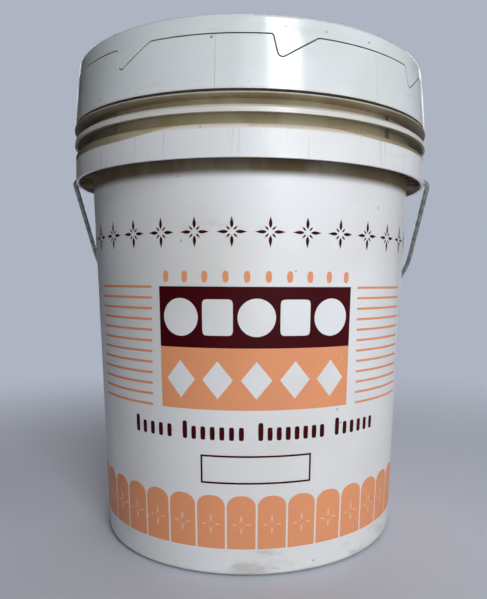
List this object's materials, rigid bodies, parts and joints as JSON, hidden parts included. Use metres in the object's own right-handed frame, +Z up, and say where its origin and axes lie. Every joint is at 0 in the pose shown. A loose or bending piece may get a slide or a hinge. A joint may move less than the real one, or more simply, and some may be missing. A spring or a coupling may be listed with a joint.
{
  "type": "paint pail",
  "caption": "Tapered plastic paint pail with a press-fit lid, tear tabs, flanged collar and skirt, and a wire bail with a roller grip.",
  "frame": {"origin": "centre of the base, on the surface that the pail stands on", "axes": "+Z up the pail's axis, +X through the right ear along the bail's pivot line, -Y the printed front, bail hanging on +Y"},
  "size_m": [0.3314, 0.3101, 0.3952],
  "materials": {
    "pail_shell": "moulded, satin",
    "lid_shell": "moulded, semi-gloss",
    "seal": "soft foam rubber",
    "bail_steel": "galvanised wire, dull",
    "grip_plastic": "moulded, satin",
    "ink_maroon": "screen-printed ink",
    "ink_peach": "screen-printed ink"
  },
  "bodies": {
    "pail": {"pail_body": "pail_shell"},
    "lid_set": {"lid": "lid_shell", "tear_tab_1": "lid_shell", "tear_tab_2": "lid_shell", "tear_tab_3": "lid_shell", "tear_tab_4": "lid_shell", "tear_tab_5": "lid_shell", "tear_tab_6": "lid_shell", "tear_tab_7": "lid_shell", "tear_tab_8": "lid_shell", "lid_gasket": "seal"},
    "bail": {"bail_wire": "bail_steel"},
    "grip": {"bail_grip": "grip_plastic"}
  },
  "joints": [
    {"name": "bail_swing", "type": "hinge", "parent": "pail", "child": "bail", "pos_m": [0, 0, 0.308], "axis": [1, 0, 0], "range_deg": [0, 266.4]},
    {"name": "lid_lift", "type": "slide", "parent": "pail", "child": "lid_set", "axis": [0, 0, 1], "range_m": [0, 0.12]},
    {"name": "grip_spin", "type": "hinge", "parent": "bail", "child": "grip", "pos_m": [0, 0.14506, 0.17177], "axis": [1, 0, 0], "continuous": true}
  ]
}
